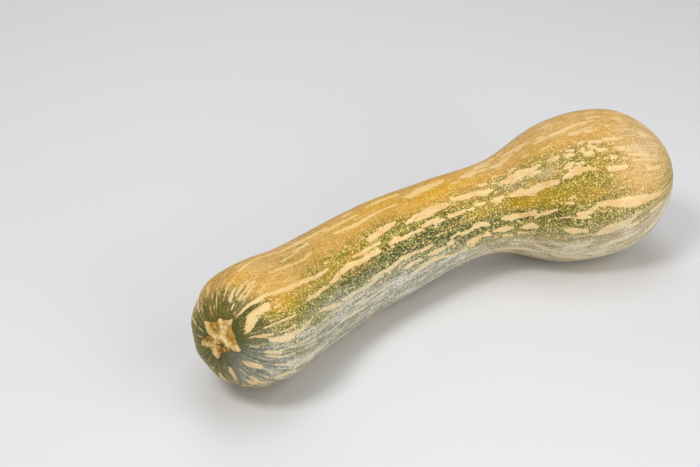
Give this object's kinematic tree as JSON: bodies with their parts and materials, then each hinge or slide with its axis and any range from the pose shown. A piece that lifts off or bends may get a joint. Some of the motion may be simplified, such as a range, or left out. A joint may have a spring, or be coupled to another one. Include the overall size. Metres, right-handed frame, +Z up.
{
  "type": "pumpkin",
  "caption": "Long-necked pumpkin as picked, lying on its side: thick bent neck, narrow waist, round bulb, mottled green and orange rind, corky star-shaped stem scar.",
  "frame": {"origin": "middle of the bottom of the part's box, on the surface it lies on", "axes": "+Z up; +X along the fruit, from the stem end towards the blossom end; +Y towards the outside of its bend"},
  "size_m": [0.5192, 0.1652, 0.1445],
  "materials": {
    "rind": "smooth thin rind with a dull waxy bloom: green, orange and grey-green, with cream blotches and fine specks",
    "cork": "dry, rough, pale brown cork"
  },
  "bodies": {
    "root": {"fruit": "rind", "stem_foot": "cork"}
  },
  "joints": []
}
